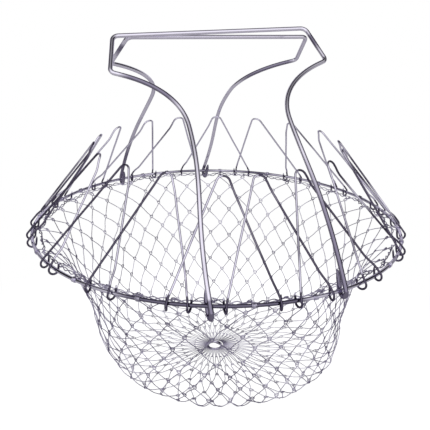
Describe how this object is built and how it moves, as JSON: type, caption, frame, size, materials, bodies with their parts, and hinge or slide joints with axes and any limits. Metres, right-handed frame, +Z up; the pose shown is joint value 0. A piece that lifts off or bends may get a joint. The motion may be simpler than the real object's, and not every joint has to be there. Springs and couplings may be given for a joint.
{
  "type": "folding wire fry basket",
  "caption": "Round wire basket with a knotted net bowl, a ring of inward-folding V prongs and two swing handles, for frying, boiling and rinsing food.",
  "frame": {"origin": "on the table the basket stands on, under the middle of the net's base", "axes": "+Z up; the two handles are hooked on at -Y (front) and +Y (rear), their grips along X"},
  "size_m": [0.24, 0.2397, 0.2173],
  "materials": {
    "rim_wire": "bright drawn wire",
    "net_wire": "bright drawn wire",
    "centre_ring_wire": "bright drawn wire",
    "tie_wire": "bright drawn wire",
    "prong_wire": "bright drawn wire",
    "handle_wire": "bright drawn wire"
  },
  "bodies": {
    "basket": {"rim_ring": "rim_wire", "net": "net_wire", "net_centre_ring": "centre_ring_wire", "net_tie_01": "tie_wire", "net_tie_02": "tie_wire", "net_tie_03": "tie_wire", "net_tie_04": "tie_wire", "net_tie_05": "tie_wire", "net_tie_06": "tie_wire", "net_tie_07": "tie_wire", "net_tie_08": "tie_wire", "net_tie_09": "tie_wire", "net_tie_10": "tie_wire", "net_tie_11": "tie_wire", "net_tie_12": "tie_wire", "net_tie_13": "tie_wire", "net_tie_14": "tie_wire", "net_tie_15": "tie_wire", "net_tie_16": "tie_wire", "net_tie_17": "tie_wire", "net_tie_18": "tie_wire", "net_tie_19": "tie_wire"},
    "handle_front": {"handle_front": "handle_wire"},
    "handle_rear": {"handle_rear": "handle_wire"},
    "prong_01": {"prong_01": "prong_wire"},
    "prong_02": {"prong_02": "prong_wire"},
    "prong_03": {"prong_03": "prong_wire"},
    "prong_04": {"prong_04": "prong_wire"},
    "prong_05": {"prong_05": "prong_wire"},
    "prong_06": {"prong_06": "prong_wire"},
    "prong_07": {"prong_07": "prong_wire"},
    "prong_08": {"prong_08": "prong_wire"},
    "prong_09": {"prong_09": "prong_wire"},
    "prong_10": {"prong_10": "prong_wire"},
    "prong_11": {"prong_11": "prong_wire"},
    "prong_12": {"prong_12": "prong_wire"},
    "prong_13": {"prong_13": "prong_wire"},
    "prong_14": {"prong_14": "prong_wire"},
    "prong_15": {"prong_15": "prong_wire"},
    "prong_16": {"prong_16": "prong_wire"},
    "prong_17": {"prong_17": "prong_wire"},
    "prong_18": {"prong_18": "prong_wire"}
  },
  "joints": [
    {"name": "prong_01_fold", "type": "hinge", "parent": "basket", "child": "prong_01", "pos_m": [0.11229, 0.01379, 0.0955], "axis": [0.1219, -0.9925, 0], "range_deg": [0, 53]},
    {"name": "prong_02_fold", "type": "hinge", "parent": "basket", "child": "prong_02", "pos_m": [0.09895, 0.05485, 0.0955], "axis": [0.4848, -0.8746, 0], "range_deg": [0, 53]},
    {"name": "prong_03_fold", "type": "hinge", "parent": "basket", "child": "prong_03", "pos_m": [0.07272, 0.08667, 0.0955], "axis": [0.766, -0.6428, 0], "range_deg": [0, 53]},
    {"name": "prong_04_fold", "type": "hinge", "parent": "basket", "child": "prong_04", "pos_m": [0.03496, 0.1076, 0.0955], "axis": [0.9511, -0.309, 0], "range_deg": [0, 53]},
    {"name": "prong_05_fold", "type": "hinge", "parent": "basket", "child": "prong_05", "pos_m": [-0.00592, 0.11298, 0.0955], "axis": [0.9986, 0.0523, 0], "range_deg": [0, 53]},
    {"name": "prong_06_fold", "type": "hinge", "parent": "basket", "child": "prong_06", "pos_m": [-0.04054, 0.10562, 0.0955], "axis": [0.9336, 0.3584, 0], "range_deg": [0, 53]},
    {"name": "prong_07_fold", "type": "hinge", "parent": "basket", "child": "prong_07", "pos_m": [-0.07716, 0.08274, 0.0955], "axis": [0.7314, 0.682, 0], "range_deg": [0, 53]},
    {"name": "prong_08_fold", "type": "hinge", "parent": "basket", "child": "prong_08", "pos_m": [-0.09989, 0.05311, 0.0955], "axis": [0.4695, 0.8829, 0], "range_deg": [0, 53]},
    {"name": "prong_09_fold", "type": "hinge", "parent": "basket", "child": "prong_09", "pos_m": [-0.11066, 0.02352, 0.0955], "axis": [0.2079, 0.9781, 0], "range_deg": [0, 53]},
    {"name": "prong_10_fold", "type": "hinge", "parent": "basket", "child": "prong_10", "pos_m": [-0.11174, -0.0177, 0.0955], "axis": [-0.1564, 0.9877, 0], "range_deg": [0, 53]},
    {"name": "prong_11_fold", "type": "hinge", "parent": "basket", "child": "prong_11", "pos_m": [-0.09698, -0.05827, 0.0955], "axis": [-0.515, 0.8572, 0], "range_deg": [0, 53]},
    {"name": "prong_12_fold", "type": "hinge", "parent": "basket", "child": "prong_12", "pos_m": [-0.0712, -0.08792, 0.0955], "axis": [-0.7771, 0.6293, 0], "range_deg": [0, 53]},
    {"name": "prong_13_fold", "type": "hinge", "parent": "basket", "child": "prong_13", "pos_m": [-0.03308, -0.10819, 0.0955], "axis": [-0.9563, 0.2924, 0], "range_deg": [0, 53]},
    {"name": "prong_14_fold", "type": "hinge", "parent": "basket", "child": "prong_14", "pos_m": [-0.00592, -0.11298, 0.0955], "axis": [-0.9986, 0.0523, 0], "range_deg": [0, 53]},
    {"name": "prong_15_fold", "type": "hinge", "parent": "basket", "child": "prong_15", "pos_m": [0.02928, -0.10928, 0.0955], "axis": [-0.9659, -0.2588, 0], "range_deg": [0, 53]},
    {"name": "prong_16_fold", "type": "hinge", "parent": "basket", "child": "prong_16", "pos_m": [0.06489, -0.09267, 0.0955], "axis": [-0.8192, -0.5736, 0], "range_deg": [0, 53]},
    {"name": "prong_17_fold", "type": "hinge", "parent": "basket", "child": "prong_17", "pos_m": [0.09594, -0.05995, 0.0955], "axis": [-0.5299, -0.848, 0], "range_deg": [0, 53]},
    {"name": "prong_18_fold", "type": "hinge", "parent": "basket", "child": "prong_18", "pos_m": [0.10928, -0.02928, 0.0955], "axis": [-0.2588, -0.9659, 0], "range_deg": [0, 53]},
    {"name": "handle_front_swing", "type": "hinge", "parent": "basket", "child": "handle_front", "pos_m": [-0.00601, -0.11089, 0.0955], "axis": [-0.9985, 0.0541, 0], "range_deg": [-123, 0]},
    {"name": "handle_rear_swing", "type": "hinge", "parent": "basket", "child": "handle_rear", "pos_m": [-0.00697, 0.11084, 0.0955], "axis": [0.998, 0.0628, 0], "range_deg": [-125, 0]}
  ],
  "couplings": [
    {"joint": "prong_02_fold", "follows": "prong_01_fold", "ratio": 1},
    {"joint": "prong_03_fold", "follows": "prong_01_fold", "ratio": 1},
    {"joint": "prong_04_fold", "follows": "prong_01_fold", "ratio": 1},
    {"joint": "prong_05_fold", "follows": "prong_01_fold", "ratio": 1},
    {"joint": "prong_06_fold", "follows": "prong_01_fold", "ratio": 1},
    {"joint": "prong_07_fold", "follows": "prong_01_fold", "ratio": 1},
    {"joint": "prong_08_fold", "follows": "prong_01_fold", "ratio": 1},
    {"joint": "prong_09_fold", "follows": "prong_01_fold", "ratio": 1},
    {"joint": "prong_10_fold", "follows": "prong_01_fold", "ratio": 1},
    {"joint": "prong_11_fold", "follows": "prong_01_fold", "ratio": 1},
    {"joint": "prong_12_fold", "follows": "prong_01_fold", "ratio": 1},
    {"joint": "prong_13_fold", "follows": "prong_01_fold", "ratio": 1},
    {"joint": "prong_14_fold", "follows": "prong_01_fold", "ratio": 1},
    {"joint": "prong_15_fold", "follows": "prong_01_fold", "ratio": 1},
    {"joint": "prong_16_fold", "follows": "prong_01_fold", "ratio": 1},
    {"joint": "prong_17_fold", "follows": "prong_01_fold", "ratio": 1},
    {"joint": "prong_18_fold", "follows": "prong_01_fold", "ratio": 1}
  ]
}
